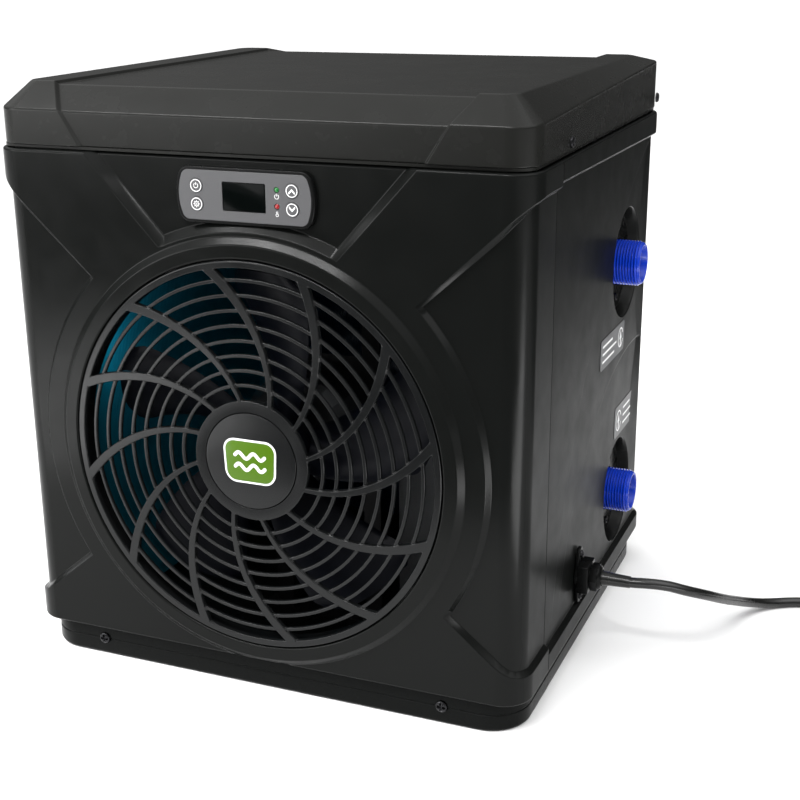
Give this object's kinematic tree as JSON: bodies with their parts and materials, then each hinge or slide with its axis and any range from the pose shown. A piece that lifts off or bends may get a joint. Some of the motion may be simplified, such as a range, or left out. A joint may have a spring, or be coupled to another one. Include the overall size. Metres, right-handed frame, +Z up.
{
  "type": "heat pump unit",
  "caption": "Compact box-shaped pool heat pump with a spiral-grille fan, keypad, refrigerant circuit, blue water connectors and a mains lead with a plug.",
  "frame": {"origin": "middle of the base tray's underside, on the ground", "axes": "+Z up, -Y the way the fan grille and keypad face, +X the side with the water connectors and mains lead"},
  "size_m": [0.7041, 0.3671, 0.4387],
  "materials": {
    "casing_plastic": "fine satin moulded texture",
    "lid_plastic": "fine satin moulded texture",
    "dark_plastic": "satin",
    "cable_rubber": "matt",
    "connector_blue": "glossy",
    "keypad_film": "satin film",
    "key_film": "satin film",
    "display_glass": "polished",
    "circuit_board": "solder mask",
    "red_lens": "polished",
    "green_lens": "polished",
    "badge_green": "printed",
    "label_film": "satin film",
    "screw_steel": "satin",
    "sheet_steel": "galvanised",
    "black_enamel": "satin",
    "motor_steel": "satin",
    "copper": "drawn tube",
    "fin_aluminium": "blue hydrophilic coating",
    "water_plastic": "satin",
    "terminal_plastic": "matt",
    "can_aluminium": "drawn"
  },
  "bodies": {
    "housing": {"base_tray": "casing_plastic", "front_casing": "casing_plastic", "rear_casing": "casing_plastic", "top_lid": "lid_plastic", "fan_grille": "dark_plastic", "hub_cap": "dark_plastic", "hub_badge": "badge_green", "inlet_label": "label_film", "outlet_label": "label_film", "keypad_frame": "dark_plastic", "keypad_overlay": "keypad_film", "display_window": "display_glass", "control_board": "circuit_board", "red_led": "red_lens", "green_led": "green_lens", "fan_motor": "motor_steel", "motor_bracket": "sheet_steel", "evaporator": "fin_aluminium", "evaporator_header": "copper", "compressor": "black_enamel", "compressor_mount": "cable_rubber", "accumulator": "copper", "heat_exchanger": "water_plastic", "suction_pipe": "copper", "discharge_pipe": "copper", "liquid_pipe": "copper", "inlet_connector": "connector_blue", "inlet_flange": "dark_plastic", "inlet_pipe": "water_plastic", "inlet_flange_screw": "screw_steel", "outlet_connector": "connector_blue", "outlet_flange": "dark_plastic", "outlet_pipe": "water_plastic", "outlet_flange_screw": "screw_steel", "flow_switch": "dark_plastic", "partition_panel": "sheet_steel", "electrical_box": "sheet_steel", "power_board": "circuit_board", "run_capacitor": "can_aluminium", "terminal_block": "terminal_plastic", "gland_flange": "dark_plastic", "cable_gland": "dark_plastic", "strain_relief": "cable_rubber", "power_cord": "cable_rubber", "cord_coil": "cable_rubber", "cord_tail": "cable_rubber", "mains_plug": "cable_rubber", "base_screw_1": "screw_steel", "base_screw_2": "screw_steel", "lid_screw_left_1": "screw_steel", "lid_screw_right_1": "screw_steel", "lid_screw_left_2": "screw_steel", "lid_screw_right_2": "screw_steel"},
    "fan": {"fan_wheel": "dark_plastic", "fan_shaft": "screw_steel", "fan_nut": "screw_steel"},
    "power_key": {"power_button": "key_film"},
    "mode_key": {"mode_button": "key_film"},
    "up_key": {"up_button": "key_film"},
    "down_key": {"down_button": "key_film"}
  },
  "joints": [
    {"name": "fan_spin", "type": "hinge", "parent": "housing", "child": "fan", "pos_m": [0, -0.148, 0.181], "axis": [0, 1, 0], "continuous": true},
    {"name": "power_press", "type": "slide", "parent": "housing", "child": "power_key", "axis": [0, 1, 0], "range_m": [0, 0.0006], "stiffness_N_per_m": 800},
    {"name": "mode_press", "type": "slide", "parent": "housing", "child": "mode_key", "axis": [0, 1, 0], "range_m": [0, 0.0006], "stiffness_N_per_m": 800},
    {"name": "up_press", "type": "slide", "parent": "housing", "child": "up_key", "axis": [0, 1, 0], "range_m": [0, 0.0006], "stiffness_N_per_m": 800},
    {"name": "down_press", "type": "slide", "parent": "housing", "child": "down_key", "axis": [0, 1, 0], "range_m": [0, 0.0006], "stiffness_N_per_m": 800}
  ]
}
